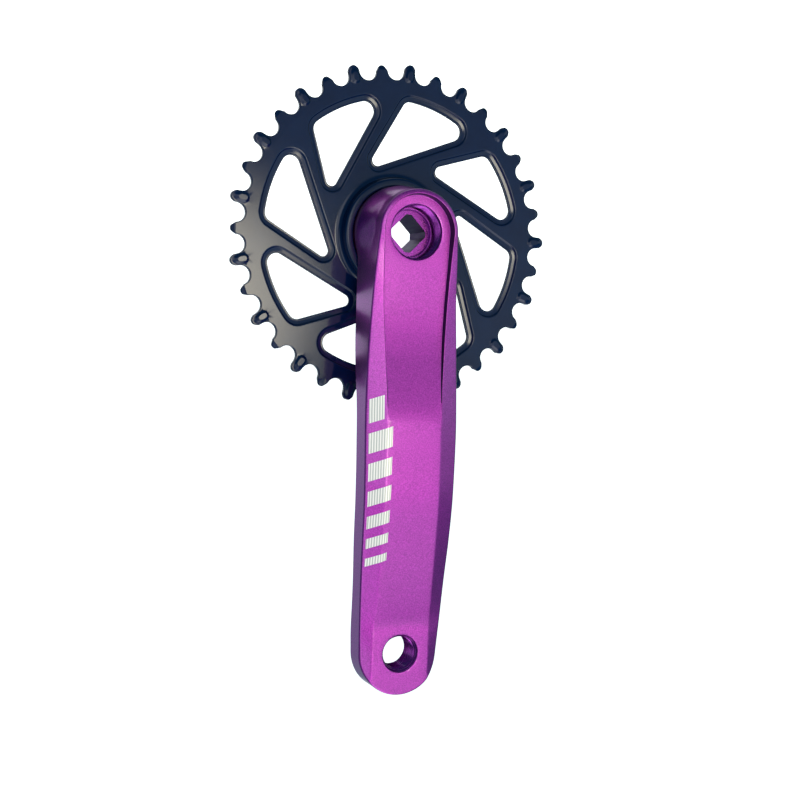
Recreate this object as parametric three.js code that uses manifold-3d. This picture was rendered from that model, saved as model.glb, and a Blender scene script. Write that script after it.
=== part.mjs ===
// Drive-side crank arm with a direct-mount narrow-wide chainring, held by three screws.
// Millimetres. X points forward, Y points inboard (towards the frame), Z points up.
// The origin is on the spindle axis, at the inboard end face of the arm's splined spigot.
// The arm hangs straight down, so the pedal axis is at Z = -CRANK_LENGTH.
import * as THREE from 'three';
import { mergeVertices } from 'three/addons/utils/BufferGeometryUtils.js';
import Module from 'manifold-3d';

const wasm = await Module();
wasm.setup();

// ---- driving dimensions -------------------------------------------------------------------

const CRANK_LENGTH = 170;          // spindle axis to pedal axis
const TEETH = 34;
const CHAIN_PITCH = 12.7;          // half-inch chain
const PITCH_RADIUS = CHAIN_PITCH / (2 * Math.sin(Math.PI / TEETH));
const GAP = 0.3;                   // clearance between neighbouring pieces
const OUTBOARD_Y = -40;            // a plane clear of the whole part, for cutters to reach to

// Arm: where its main faces lie along Y.
const BORE_MOUTH_Y = -26;          // floor of the pocket round the extractor bore
const PEDAL_FACE_Y = -26.4;
const SHOULDER_Y = -3.7;           // ring seat on the boss; the spigot goes on to Y = 0
const TOP_RADIUS = 17;             // round top of the arm, about the spindle axis
const PEDAL_RADIUS = 17;           // round bottom of the arm, about the pedal axis
const POCKET_RADIUS = 15;          // round top of the pocket
const POCKET_END_Z = -72;
const BOSS_RADIUS = 19.7;

// Spindle socket: JIS square taper, turned 45 degrees, behind an M22 extractor thread.
const EXTRACTOR_RADIUS = 10.7;
const EXTRACTOR_MOUTH_RADIUS = 11.05;
const EXTRACTOR_DEPTH = 7.2;
const SEAT_RADIUS = 9.4;
const SEAT_DEPTH = 8.8;
const TAPER_FLATS = 12.6;          // across flats at the bolt seat
const TAPER_SLOPE = Math.tan(THREE.MathUtils.degToRad(2));
const TAPER_CORNER = 7.9;          // centre to truncated corner at the bolt seat

// Pedal hole: 9/16 inch x 20 tpi.
const PEDAL_HOLE_RADIUS = 6.9;
const PEDAL_MOUTH_RADIUS = 7.5;
const PEDAL_MOUTH_DEPTH = 0.9;

// Ring-to-arm interface: splined spigot and three screws.
const SPLINES = 24;
const SPIGOT_TIP = 12;
const SPIGOT_ROOT = 11.1;
const SCREWS = 3;
const SCREW_CIRCLE = 16;
const SCREW_RADIUS = 1.8;
const SCREW_LENGTH = 8;             // under the head
const SCREW_HEAD_RADIUS = 3.6;
const SCREW_HEAD_HEIGHT = 2.4;
const RECESS_RADIUS = 1.75;
const RECESS_LOBE = 0.3;
const RECESS_DEPTH = 1.4;

// Chainring.
const PLATE_FRONT_Y = -2.2;
const PLATE_BACK_Y = 0;
const ROOT_RADIUS = PITCH_RADIUS - 4.8;
const SEAT_ARC_RADIUS = 3.9;       // roller seat
const WIDE_TIP_HEIGHT = 2.2;       // tooth tips, above the pitch circle
const NARROW_TIP_HEIGHT = 1.1;
const WIDE_PAD_HEIGHT = 0.8;       // how far a wide tooth stands proud of each plate face
const FIRST_WIDE_ANGLE = -104.6;   // degrees from +X towards +Z
const WINDOWS = 8;
const WINDOW_OUTER_RADIUS = 56.1;
const WINDOW_EDGE = 2.6;           // width of the sloped border round each window
const WINDOW_EDGE_DEPTH = 0.9;
const COLLAR_FRONT_Y = -7.4;
const COLLAR_RADIUS = 23.3;
const COLLAR_FILLET = 2.2;

// ---- small helpers ------------------------------------------------------------------------

const rad = THREE.MathUtils.degToRad;
const polar = (radius, angle) => new THREE.Vector2(radius * Math.cos(angle), radius * Math.sin(angle));

// A manifold solid from a closed three.js geometry.
function solid(geometry) {
  const bare = geometry.clone();
  bare.deleteAttribute('normal');
  bare.deleteAttribute('uv');
  const welded = mergeVertices(bare, 1e-4);
  return new wasm.Manifold(new wasm.Mesh({
    numProp: 3,
    vertProperties: new Float32Array(welded.attributes.position.array),
    triVerts: new Uint32Array(welded.index.array),
  }));
}

// Back to a three.js geometry with flat shading.
function geometryOf(manifold) {
  const { vertProperties, triVerts } = manifold.getMesh();
  const geometry = new THREE.BufferGeometry();
  geometry.setAttribute('position', new THREE.BufferAttribute(new Float32Array(vertProperties), 3));
  geometry.setIndex(new THREE.BufferAttribute(new Uint32Array(triVerts), 1));
  geometry.computeVertexNormals();
  return geometry;
}

// A flat outline in X and Z, extruded from y0 to y1.
function slab(points, y0, y1) {
  const shape = new THREE.Shape(points);
  const geometry = new THREE.ExtrudeGeometry(shape, { depth: y1 - y0, bevelEnabled: false });
  geometry.rotateX(Math.PI / 2);
  geometry.translate(0, y1, 0);
  return solid(geometry);
}

// A closed [radius, y] profile turned about the Y axis.
function turned(profile, segments) {
  const points = profile.map(([radius, y]) => new THREE.Vector2(radius, y));
  return solid(new THREE.LatheGeometry(points, segments));
}

// A skin through rings of points; every ring is convex and has the same number of points.
// The points run anticlockwise for someone who looks back from beyond the last ring.
function loft(rings) {
  const size = rings[0].length;
  const positions = rings.flat().flatMap((p) => [p.x, p.y, p.z]);
  const index = [];
  for (let r = 0; r + 1 < rings.length; r += 1) {
    for (let i = 0; i < size; i += 1) {
      const a = r * size + i;
      const b = r * size + ((i + 1) % size);
      index.push(a, b, b + size, a, b + size, a + size);
    }
  }
  const last = (rings.length - 1) * size;
  for (let i = 1; i + 1 < size; i += 1) {
    index.push(0, i + 1, i);
    index.push(last, last + i, last + i + 1);
  }
  const geometry = new THREE.BufferGeometry();
  geometry.setAttribute('position', new THREE.Float32BufferAttribute(positions, 3));
  geometry.setIndex(index);
  return solid(geometry);
}

// A smooth curve through [z, value] pairs that run downwards, flat beyond both ends.
function along(pairs) {
  const slope = (i) => {
    const a = pairs[Math.max(i - 1, 0)];
    const b = pairs[Math.min(i + 1, pairs.length - 1)];
    return (b[1] - a[1]) / (b[0] - a[0]);
  };
  return (z) => {
    if (z >= pairs[0][0]) return pairs[0][1];
    if (z <= pairs.at(-1)[0]) return pairs.at(-1)[1];
    const i = pairs.findIndex((pair) => pair[0] < z) - 1;
    const [z0, v0] = pairs[i];
    const [z1, v1] = pairs[i + 1];
    const h = z1 - z0;
    const t = (z - z0) / h;
    const s = 1 - t;
    const ends = v0 * s * s * (1 + 2 * t) + v1 * t * t * (1 + 2 * s);
    return ends + h * t * s * (slope(i) * s - slope(i + 1) * t);
  };
}

function arc(centre, radius, from, to, steps) {
  const points = [];
  for (let i = 0; i <= steps; i += 1) {
    points.push(polar(radius, from + ((to - from) * i) / steps).add(centre));
  }
  return points;
}

// ---- crank arm ----------------------------------------------------------------------------

// The arm's lines, as [z, value]. Depths are Y values.
const halfWidth = along([
  [0, 17], [-11, 17.7], [-27, 18.4], [-51, 19.5], [-75, 20], [-95, 19.7],
  [-123, 19.1], [-148, 18.1], [-161, 17.5], [-170, 17],
]);
const edgeY = along([
  [0, -29.3], [-11, -28.4], [-27, -27.2], [-51, -27.4], [-67, -28.1], [-85, -29.1],
  [-107, -29.4], [-123, -28.2], [-140, -26.3], [-160, -24.8], [-172, -24],
]);
const crestHalfWidth = along([
  [0, 15], [-27, 13.8], [-51, 12.5], [-67, 11.8], [-107, 11.7], [-140, 11.8], [-172, 12.4],
]);
const crestY = along([
  [0, -29.9], [-11, -28.8], [-27, -28.1], [-39, -28.6], [-51, -29.5], [-67, -31], [-79, -31.85],
  [-93, -32.15], [-107, -32.2], [-123, -30.9], [-140, -29.1], [-150, -27.7], [-158, PEDAL_FACE_Y], [-162, PEDAL_FACE_Y],
]);
const backY = along([
  [-20, -8.1], [-28, -8.7], [-40, -9.9], [-52, -12.3], [-68, -16.4], [-80, -17.8],
  [-107, -18], [-123, -17], [-140, -16.1], [-150, -15], [-162, -13.4], [-170, -13],
]);
const pocketFloorY = along([
  [0, BORE_MOUTH_Y], [-14, BORE_MOUTH_Y], [-24, -25.2], [-35, -25.6], [-47, -27.2], [-55, -28.4],
  [-63, -29.8], [POCKET_END_Z, -31.3],
]);

const ARM_STEP = 4;
const ARM_OVERRUN = 3;             // the lofted body runs past the outline's ends and sides,
const SIDE_OVERRUN = 5;            // which then trims it
const BACK_CHAMFER = 1.7;
const ROUND_STEPS = 28;            // points round each half-circle of the arm

const stations = [];
const lowest = -CRANK_LENGTH - PEDAL_RADIUS - ARM_OVERRUN;
for (let z = lowest; z < TOP_RADIUS + ARM_OVERRUN + ARM_STEP; z += ARM_STEP) {
  stations.push(z);
}

function armSection(z) {
  const crest = crestHalfWidth(z);
  const facet = halfWidth(z) - crest;
  const reach = halfWidth(z) + SIDE_OVERRUN;
  const reachY = crestY(z) + ((edgeY(z) - crestY(z)) * (reach - crest)) / facet;
  const back = halfWidth(z) - BACK_CHAMFER;
  const ring = [
    [-reach, reachY], [-crest, crestY(z)], [crest, crestY(z)], [reach, reachY],
    [reach, backY(z) - BACK_CHAMFER - SIDE_OVERRUN], [back, backY(z)], [-back, backY(z)],
    [-reach, backY(z) - BACK_CHAMFER - SIDE_OVERRUN],
  ];
  return ring.map(([x, y]) => new THREE.Vector3(x, y, z));
}

function armOutline() {
  const pedal = new THREE.Vector2(0, -CRANK_LENGTH);
  const side = stations.filter((z) => z < 0 && z > -CRANK_LENGTH);
  return [
    ...arc(new THREE.Vector2(), TOP_RADIUS, 0, Math.PI, ROUND_STEPS),
    ...side.toReversed().map((z) => new THREE.Vector2(-halfWidth(z), z)),
    ...arc(pedal, PEDAL_RADIUS, Math.PI, 2 * Math.PI, ROUND_STEPS),
    ...side.map((z) => new THREE.Vector2(halfWidth(z), z)),
  ];
}

function pocket() {
  const side = [-9, -18, -27, -39, -51, -67, POCKET_END_Z];
  const outline = [
    ...arc(new THREE.Vector2(), POCKET_RADIUS, 0, Math.PI, ROUND_STEPS),
    ...side.map((z) => new THREE.Vector2(-crestHalfWidth(z), z)),
    ...side.toReversed().map((z) => new THREE.Vector2(crestHalfWidth(z), z)),
  ];
  const depths = [POCKET_END_Z, ...stations.filter((z) => z > POCKET_END_Z)];
  const rings = depths.map((z) => [
    new THREE.Vector3(-TOP_RADIUS, OUTBOARD_Y, z), new THREE.Vector3(TOP_RADIUS, OUTBOARD_Y, z),
    new THREE.Vector3(TOP_RADIUS, pocketFloorY(z), z), new THREE.Vector3(-TOP_RADIUS, pocketFloorY(z), z),
  ]);
  return loft(rings).intersect(slab(outline, OUTBOARD_Y, BORE_MOUTH_Y + 1));
}

// A square with cut corners, its corners on the X and Z axes.
function taperRing(y) {
  const grow = (y - BORE_MOUTH_Y - SEAT_DEPTH) * TAPER_SLOPE;
  const diagonal = (TAPER_FLATS / 2 + grow) * Math.SQRT2;
  const corner = TAPER_CORNER + grow;
  const cut = diagonal - corner;
  const ring = [];
  for (let quarter = 0; quarter < 4; quarter += 1) {
    const axis = polar(1, (quarter * Math.PI) / 2);
    const across = new THREE.Vector2(-axis.y, axis.x);
    for (const side of [-1, 1]) {
      const p = axis.clone().multiplyScalar(corner).addScaledVector(across, side * cut);
      ring.push(new THREE.Vector3(p.x, y, p.y));
    }
  }
  return ring;
}

function spline(tip, root, y0, y1) {
  const points = [];
  for (let i = 0; i < SPLINES; i += 1) {
    for (const [radius, phase] of [[root, -0.32], [tip, -0.16], [tip, 0.16], [root, 0.32]]) {
      points.push(polar(radius, ((i + phase) * 2 * Math.PI) / SPLINES));
    }
  }
  return slab(points, y0, y1);
}

function screwPlaces() {
  return Array.from({ length: SCREWS }, (_, i) => polar(SCREW_CIRCLE, rad(90 + (i * 360) / SCREWS)));
}

// The hole that a screw passes through in the ring and enters in the arm.
function screwHole(place) {
  const length = SCREW_LENGTH + 3;
  const hole = new THREE.CylinderGeometry(SCREW_RADIUS + GAP, SCREW_RADIUS + GAP, length, 20);
  return solid(hole.translate(place.x, 1 - length / 2, place.y));
}

// The wedge that slopes the rim round the arm's top outwards, as the facets below it slope.
function rimSlope() {
  const inner = crestHalfWidth(0);
  const outer = inner + 5;
  const outerY = crestY(0) + 1.5;
  const wedge = turned([
    [inner, crestY(0)], [outer - 1, OUTBOARD_Y], [outer, OUTBOARD_Y], [outer, outerY], [inner, crestY(0)],
  ], 56);
  const aboveAxis = new THREE.BoxGeometry(3 * outer, 30, 2 * outer).translate(0, OUTBOARD_Y, outer);
  return wedge.intersect(solid(aboveAxis));
}

// The round boss behind the arm, which flares towards the ring's seat.
function boss() {
  return turned([
    [0, -24], [TOP_RADIUS - 0.2, -24], [BOSS_RADIUS - 0.6, -14], [BOSS_RADIUS, -11],
    [BOSS_RADIUS, SHOULDER_Y], [0, SHOULDER_Y],
  ], 56);
}

// The extractor thread's bore, with the smaller bolt seat at its bottom.
function extractorBore() {
  const floor = BORE_MOUTH_Y;
  return turned([
    [0, OUTBOARD_Y], [EXTRACTOR_MOUTH_RADIUS, OUTBOARD_Y], [EXTRACTOR_MOUTH_RADIUS, floor],
    [EXTRACTOR_RADIUS, floor + 0.5], [EXTRACTOR_RADIUS, floor + EXTRACTOR_DEPTH],
    [SEAT_RADIUS, floor + EXTRACTOR_DEPTH], [SEAT_RADIUS, floor + SEAT_DEPTH], [0, floor + SEAT_DEPTH],
  ], 48);
}

function pedalHole() {
  const bevel = 0.2;
  const profile = [
    [0, OUTBOARD_Y], [PEDAL_MOUTH_RADIUS + bevel, OUTBOARD_Y], [PEDAL_MOUTH_RADIUS + bevel, PEDAL_FACE_Y],
    [PEDAL_MOUTH_RADIUS, PEDAL_FACE_Y + PEDAL_MOUTH_DEPTH],
    [PEDAL_HOLE_RADIUS, PEDAL_FACE_Y + PEDAL_MOUTH_DEPTH + bevel], [PEDAL_HOLE_RADIUS, 0], [0, 0],
  ];
  return turned(profile, 40).translate([0, 0, -CRANK_LENGTH]);
}

function crankArm() {
  let arm = loft(stations.map(armSection)).intersect(slab(armOutline(), OUTBOARD_Y, 0));
  arm = arm.subtract(pocket()).subtract(rimSlope()).add(boss());
  arm = arm.add(spline(SPIGOT_TIP, SPIGOT_ROOT, SHOULDER_Y - 1, 0));
  const taper = loft([taperRing(1), taperRing(BORE_MOUTH_Y + SEAT_DEPTH - 1)]);
  arm = arm.subtract(extractorBore()).subtract(taper).subtract(pedalHole());
  for (const place of screwPlaces()) {
    arm = arm.subtract(screwHole(place));
  }
  return arm;
}

// ---- chainring ----------------------------------------------------------------------------

const PITCH_ANGLE = (2 * Math.PI) / TEETH;
const SEAT_CENTRE = ROOT_RADIUS + SEAT_ARC_RADIUS;

// Half of a tooth's tip, from its flank to its centre line, as [half width, radius].
const halfTip = (steps, height) => steps.map(([half, drop]) => [half, PITCH_RADIUS + height - drop]);
const WIDE_TIP = halfTip([[2.3, 2.1], [1.9, 1.2], [1.1, 0.3], [0, 0]], WIDE_TIP_HEIGHT);
const NARROW_TIP = halfTip([[2.1, 2], [1.5, 0.9], [0.9, 0.2], [0, 0]], NARROW_TIP_HEIGHT);

function toothOutline() {
  const points = [];
  for (let i = 0; i < TEETH; i += 1) {
    const centre = rad(FIRST_WIDE_ANGLE) + i * PITCH_ANGLE;
    const tip = i % 2 === 0 ? WIDE_TIP : NARROW_TIP;
    const mirrored = tip.slice(0, -1).reverse().map(([half, radius]) => [-half, radius]);
    for (const [half, radius] of [...tip, ...mirrored]) {
      points.push(polar(Math.hypot(radius, half), centre - Math.atan2(half, radius)));
    }
    const gap = centre + PITCH_ANGLE / 2;
    const inward = gap + Math.PI;
    const halfSeat = 1.45;
    points.push(...arc(polar(SEAT_CENTRE, gap), SEAT_ARC_RADIUS, inward + halfSeat, inward - halfSeat, 8));
  }
  return points;
}

// One window: three round corners, straight sides and an outer side that follows the ring.
const OUTER_CORNERS = [{ angle: 106, radius: 4 }, { angle: 128.7, radius: 3.8 }];
const INNER_CORNERS = [
  { centre: new THREE.Vector2(-27.9, 20.8), radius: 2.5 },
  { centre: new THREE.Vector2(-27.3, 15.9), radius: 2.4 },
];

function windowOutline(kind, grow) {
  const [first, second] = OUTER_CORNERS.map(({ angle, radius }) => ({
    centre: polar(WINDOW_OUTER_RADIUS - radius, rad(angle)), radius: radius + grow, angle: rad(angle),
  }));
  const inner = { centre: INNER_CORNERS[kind].centre, radius: INNER_CORNERS[kind].radius + grow };
  // Direction of the outward normal of the common tangent that runs from circle a to circle b.
  const normal = (a, b) => {
    const d = b.centre.clone().sub(a.centre);
    return d.angle() - Math.acos((a.radius - b.radius) / d.length());
  };
  const intoFirst = normal(inner, first);
  const outOfSecond = normal(second, inner);
  const upTo = (angle, base) => base + THREE.MathUtils.euclideanModulo(angle - base, 2 * Math.PI);
  const start = first.angle - THREE.MathUtils.euclideanModulo(first.angle - intoFirst, 2 * Math.PI);
  return [
    ...arc(first.centre, first.radius, start, first.angle, 6),
    ...arc(new THREE.Vector2(), WINDOW_OUTER_RADIUS + grow, first.angle, second.angle, 5).slice(1, -1),
    ...arc(second.centre, second.radius, second.angle, upTo(outOfSecond, second.angle), 6),
    ...arc(inner.centre, inner.radius, outOfSecond, upTo(intoFirst, outOfSecond), 7),
  ];
}

function chainringWindow(number) {
  const turn = (-number * 2 * Math.PI) / WINDOWS;
  const ring = (grow, y) => windowOutline(number % 2, grow).map((p) => {
    p.rotateAround(new THREE.Vector2(), turn);
    return new THREE.Vector3(p.x, y, p.y);
  });
  const slope = WINDOW_EDGE / WINDOW_EDGE_DEPTH;
  return loft([
    ring(0, PLATE_BACK_Y + 1),
    ring(0, PLATE_FRONT_Y + WINDOW_EDGE_DEPTH),
    ring(WINDOW_EDGE + slope, PLATE_FRONT_Y - 1),
  ]);
}

// The raised pad that makes a wide tooth fill the gap between a chain's outer plates.
function widePad(number) {
  const centre = rad(FIRST_WIDE_ANGLE) + number * PITCH_ANGLE;
  const ring = (shrink, y) => {
    const half = [
      [2.2 - shrink, ROOT_RADIUS + 0.6 + shrink], [2.1 - shrink, PITCH_RADIUS],
      [1.2 - shrink, PITCH_RADIUS + 1.5 - shrink],
    ];
    const points = [...half, ...half.toReversed().map(([x, r]) => [-x, r])];
    return points.map(([x, r]) => {
      const p = polar(Math.hypot(r, x), centre - Math.atan2(x, r));
      return new THREE.Vector3(p.x, y, p.y);
    });
  };
  const low = PLATE_FRONT_Y - WIDE_PAD_HEIGHT;
  const high = PLATE_BACK_Y + WIDE_PAD_HEIGHT;
  const slope = 0.7;
  return loft([ring(slope, high), ring(0, PLATE_BACK_Y), ring(0, PLATE_FRONT_Y), ring(slope, low)]);
}

// The web behind the arm's boss and the raised collar round it, with a fillet down to the plate.
function hub() {
  const web = SHOULDER_Y + GAP;
  const bore = BOSS_RADIUS + GAP;
  const fillet = COLLAR_RADIUS + COLLAR_FILLET;
  return turned([
    [0, web], [bore, web], [bore, COLLAR_FRONT_Y + 0.4], [bore + 0.4, COLLAR_FRONT_Y],
    [COLLAR_RADIUS - 0.8, COLLAR_FRONT_Y], [COLLAR_RADIUS, COLLAR_FRONT_Y + 0.8],
    [COLLAR_RADIUS + 0.2, PLATE_FRONT_Y - 1.7], [COLLAR_RADIUS + 0.9, PLATE_FRONT_Y - 0.6],
    [fillet, PLATE_FRONT_Y], [fillet, PLATE_BACK_Y], [0, PLATE_BACK_Y],
  ], 64);
}

function chainring() {
  let ring = slab(toothOutline(), PLATE_FRONT_Y, PLATE_BACK_Y);
  for (let i = 0; i < TEETH; i += 2) {
    ring = ring.add(widePad(i));
  }
  for (let i = 0; i < WINDOWS; i += 1) {
    ring = ring.subtract(chainringWindow(i));
  }
  const socket = spline(SPIGOT_TIP + GAP, SPIGOT_ROOT + GAP, SHOULDER_Y - 1, PLATE_BACK_Y + 1);
  ring = ring.add(hub()).subtract(socket);
  for (const place of screwPlaces()) {
    ring = ring.subtract(screwHole(place));
  }
  return ring;
}

// ---- chainring screws ---------------------------------------------------------------------

function chainringScrew(place) {
  const seat = PLATE_BACK_Y + GAP;
  const top = seat + SCREW_HEAD_HEIGHT;
  const tip = seat - SCREW_LENGTH;
  const head = SCREW_HEAD_RADIUS;
  let screw = turned([
    [0, tip], [SCREW_RADIUS - 0.4, tip], [SCREW_RADIUS, tip + 0.4], [SCREW_RADIUS, seat],
    [head, seat], [head, top - 0.9], [head - 0.5, top - 0.25], [head - 1.2, top], [0, top],
  ], 28);
  // Six-lobed driver recess.
  const steps = 36;
  const recess = Array.from({ length: steps }, (_, i) => {
    const angle = (i * 2 * Math.PI) / steps;
    return polar(RECESS_RADIUS + RECESS_LOBE * Math.cos(6 * angle), angle);
  });
  screw = screw.subtract(slab(recess, top - RECESS_DEPTH, top + 1));
  return screw.translate([place.x, 0, place.y]);
}

// ---- assembly -----------------------------------------------------------------------------

const anodisedPurple = { color: 0xb455b9, roughness: 0.38, metalness: 0.85 };
const glossBlack = { color: 0x15181d, roughness: 0.22, metalness: 0.6 };
const blackSteel = { color: 0x2b2c2e, roughness: 0.4, metalness: 0.9 };

const crankset = new THREE.Group();

function addPiece(name, manifold, finish) {
  const mesh = new THREE.Mesh(geometryOf(manifold), new THREE.MeshStandardMaterial(finish));
  mesh.name = name;
  crankset.add(mesh);
}

addPiece('crank_arm', crankArm(), anodisedPurple);
addPiece('chainring', chainring(), glossBlack);
screwPlaces().forEach((place, i) => addPiece(`chainring_screw_${i + 1}`, chainringScrew(place), blackSteel));

export default crankset;
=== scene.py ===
"""Looks of a drive-side crank arm and its direct-mount chainring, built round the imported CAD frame.

Lengths are in millimetres until a piece is made, and the axes are the frame's: X forward, Y inboard, Z up,
with the origin on the spindle axis. A line is an array of points, one row each, as x, y, z.
"""
import math

import bmesh
import bpy
import numpy as np
from mathutils import Matrix, Vector, kdtree
from mathutils.geometry import delaunay_2d_cdt


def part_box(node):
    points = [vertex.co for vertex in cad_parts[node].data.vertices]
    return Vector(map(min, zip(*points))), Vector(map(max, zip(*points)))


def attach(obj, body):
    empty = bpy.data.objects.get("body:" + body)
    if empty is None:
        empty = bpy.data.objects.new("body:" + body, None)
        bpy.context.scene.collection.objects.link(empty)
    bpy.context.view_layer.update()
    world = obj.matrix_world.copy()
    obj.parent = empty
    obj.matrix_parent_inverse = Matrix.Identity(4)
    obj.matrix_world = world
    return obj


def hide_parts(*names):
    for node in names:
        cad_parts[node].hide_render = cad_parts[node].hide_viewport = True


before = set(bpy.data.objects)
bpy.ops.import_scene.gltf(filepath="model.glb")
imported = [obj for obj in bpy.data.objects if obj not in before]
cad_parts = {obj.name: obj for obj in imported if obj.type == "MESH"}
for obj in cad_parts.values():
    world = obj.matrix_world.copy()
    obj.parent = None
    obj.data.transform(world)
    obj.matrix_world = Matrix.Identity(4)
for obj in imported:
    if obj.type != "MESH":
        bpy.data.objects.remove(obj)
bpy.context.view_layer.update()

MM = 0.001
TURN = 2 * math.pi


def cad_mm(node):
    """Lowest and highest corner of a CAD node."""
    return [np.array(corner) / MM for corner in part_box(node)]


# ---- dimensions -----------------------------------------------------------------------------

arm_low, arm_high = cad_mm("crank_arm")
ring_low, ring_high = cad_mm("chainring")

# Arm.
TOP_RADIUS = 17.0                # round top, about the spindle axis
PEDAL_RADIUS = 17.0              # round bottom, about the pedal axis
PEDAL_Z = arm_low[2] + PEDAL_RADIUS
POCKET_END_Z = -75.5             # where the pocket below the bore fades out
PEDAL_FACE_Y = -26.4
FLOOR_Y = -26.0                  # floor of the pocket round the extractor bore
SEAT_Y = -17.2                   # bolt seat at the bottom of the bore
SHOULDER_Y = -3.7                # where the chainring sits on the boss
SPIGOT_Y = arm_high[1]
BOSS_REAR_RADIUS = 19.15
SPLINES = 24
SPIGOT_TIP = 12.0
SPIGOT_ROOT = 11.1

# Chainring.
TEETH = 34
FIRST_WIDE_ANGLE = math.radians(-104.6)
CHAIN_PITCH = 12.7               # half-inch chain
PITCH_RADIUS = CHAIN_PITCH / (2 * math.sin(math.pi / TEETH))
ROOT_RADIUS = PITCH_RADIUS - 4.8
ROLLER_SEAT = 3.9                # radius of the gap between two teeth
ROLLER_HALF_ANGLE = 1.45         # radians of that radius on each side of the gap's middle
PLATE_FRONT_Y = -2.2
PLATE_BACK_Y = 0.0
PAD_HEIGHT = ring_high[1] - PLATE_BACK_Y     # how far a wide tooth stands proud of the plate
WINDOWS = 8
WINDOW_OUTER_RADIUS = 56.1
COLLAR_FRONT_Y = ring_low[1]
COLLAR_BORE = 20.0
GAP = 0.3                        # clearance between neighbouring pieces

# Screws.
SCREWS = ["chainring_screw_1", "chainring_screw_2", "chainring_screw_3"]
SCREW_RADIUS = 1.8
SCREW_PITCH = 0.7
SCREW_THREAD_HEIGHT = 0.35
SCREW_HOLE = 2.1                 # radius of the hole round it
SCREW_HOLE_DEPTH = 6.3           # in the arm
RECESS_RADIUS = 1.75             # six-lobed recess in the head
RECESS_LOBE = 0.3
RECESS_DEPTH = 1.4

# How finely things are drawn: points round a circle, and the distance between an outline's points.
BORE_POINTS = 96
COLLAR_POINTS = 160
HOLE_POINTS = 24
SCREW_POINTS = 48
OUTLINE_STEP = 2.0


# ---- lines and curves -----------------------------------------------------------------------

def along(pairs):
    """A smooth curve through (z, value) pairs that run downwards, flat beyond both ends."""
    z, value = np.array(pairs, float).T
    ahead = np.r_[1:len(z), len(z) - 1]
    behind = np.r_[0, 0:len(z) - 1]
    slope = (value[ahead] - value[behind]) / (z[ahead] - z[behind])

    def at(where):
        where = np.clip(where, z[-1], z[0])
        i = np.clip(np.searchsorted(-z, -where, side="right") - 1, 0, len(z) - 2)
        h = z[i + 1] - z[i]
        t = (where - z[i]) / h
        s = 1 - t
        ends = value[i] * s * s * (1 + 2 * t) + value[i + 1] * t * t * (1 + 2 * s)
        return ends + h * t * s * (slope[i] * s - slope[i + 1] * t)

    return at


def smooth_step(low, high, value):
    """0 at low and 1 at high, level at both ends."""
    t = np.clip((value - low) / (high - low), 0, 1)
    return t * t * (3 - 2 * t)


def polar(radius, angle):
    return np.stack([radius * np.cos(angle), radius * np.sin(angle)], -1)


def arc(centre, radius, start, end, steps):
    """Points round a centre from one angle to another, both ends included."""
    return np.asarray(centre) + polar(radius, np.linspace(start, end, steps + 1))


def at_depth(flat, y):
    """A line in space from points in X and Z and their depth."""
    y = np.broadcast_to(y, len(flat))
    return np.stack([flat[:, 0], y, flat[:, 1]], -1)


def circle(radius, y, points, centre=(0, 0)):
    """A closed line about an axis along Y."""
    flat = np.asarray(centre) + polar(radius, np.arange(points) * TURN / points)
    return at_depth(flat, y)


def grown(flat, distance):
    """An outline that runs anticlockwise, moved outwards by a distance."""
    tangent = np.roll(flat, -1, 0) - np.roll(flat, 1, 0)
    normal = np.stack([tangent[:, 1], -tangent[:, 0]], -1)
    normal /= np.linalg.norm(normal, axis=1, keepdims=True)
    return flat + normal * np.broadcast_to(distance, len(flat))[:, None]


def rounded(flat):
    """A closed outline with one more point on each side, on a smooth curve through all the points."""
    before, after, beyond = np.roll(flat, 1, 0), np.roll(flat, -1, 0), np.roll(flat, -2, 0)
    middle = (9 * (flat + after) - before - beyond) / 16
    return np.stack([flat, middle], 1).reshape(-1, 2)


def inside(x, z, line):
    """Whether each point lies inside a closed line, seen along Y."""
    ax, az = line[:, 0], line[:, 2]
    bx, bz = np.roll(ax, -1), np.roll(az, -1)
    x, z = x[:, None], z[:, None]
    crossing = (az > z) != (bz > z)
    rise = np.where(bz == az, 1, bz - az)
    return (crossing & (x < ax + (z - az) / rise * (bx - ax))).sum(1) % 2 == 1


# ---- skins ----------------------------------------------------------------------------------

ROW_SHARE = 0.87                 # a sheet's points lie in rows this share of their spacing apart
CLEAR_SHARE = 0.6                # and no nearer to a line than this share
MERGE = 1e-7                     # points closer than this are one
SHARP_DEGREES = 32               # an edge that turns by more is drawn sharp


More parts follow.
